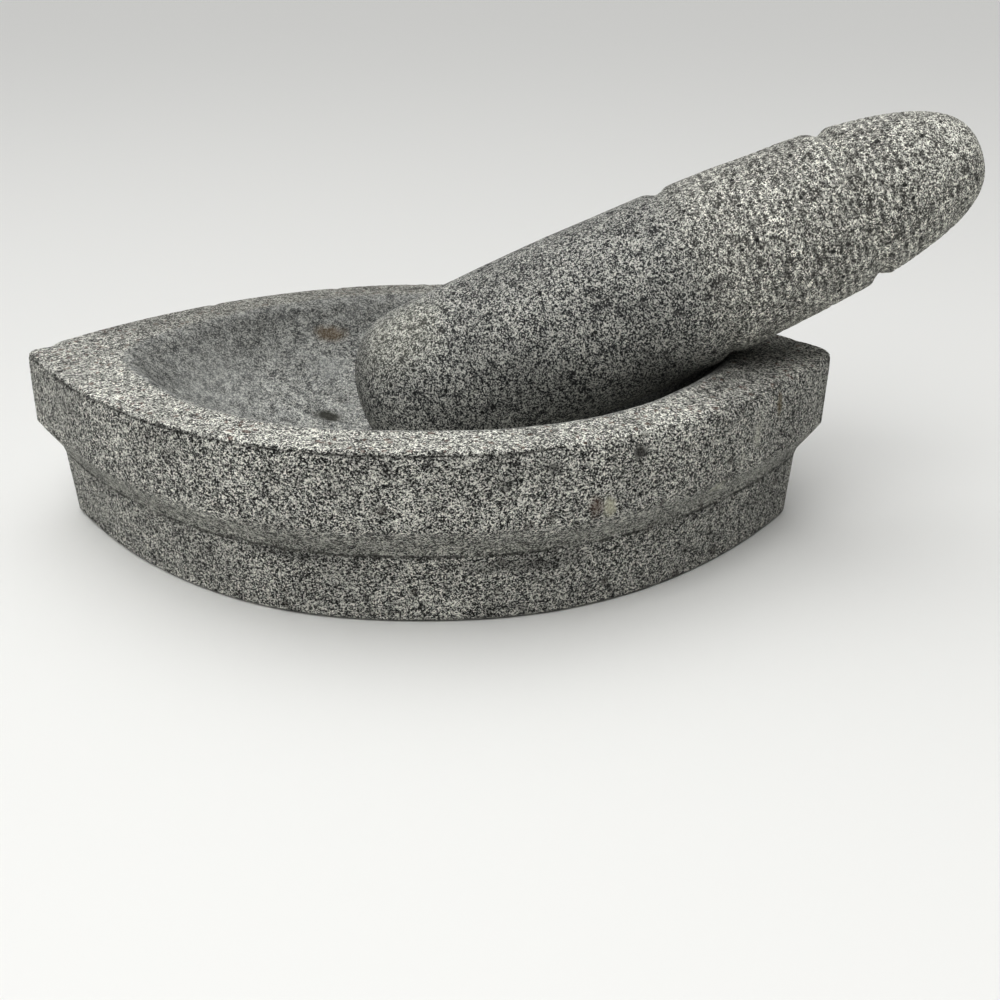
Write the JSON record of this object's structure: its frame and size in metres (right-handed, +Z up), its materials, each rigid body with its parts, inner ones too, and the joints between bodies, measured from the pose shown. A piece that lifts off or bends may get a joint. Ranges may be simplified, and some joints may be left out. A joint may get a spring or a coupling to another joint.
{
  "type": "mortar and pestle",
  "caption": "Hand-carved granite mortar, eye-shaped on a stepped foot, with a loose tapered granite pestle leaning in its bowl.",
  "frame": {"origin": "middle of the mortar's flat base, on the surface it stands on", "axes": "+X along the mortar's length towards the tip that the pestle leans over, +Y across it, +Z up"},
  "size_m": [0.2917, 0.16, 0.1284],
  "materials": {
    "carved_granite": "matt, point-dressed",
    "dressed_granite": "matt, pecked grip and worn butt"
  },
  "bodies": {
    "mortar": {"mortar": "carved_granite"},
    "pestle": {"pestle": "dressed_granite"}
  },
  "joints": [
    {"name": "pestle_lift", "type": "slide", "parent": "mortar", "child": "pestle", "axis": [0, 0, 1], "range_m": [0, 0.1]}
  ]
}
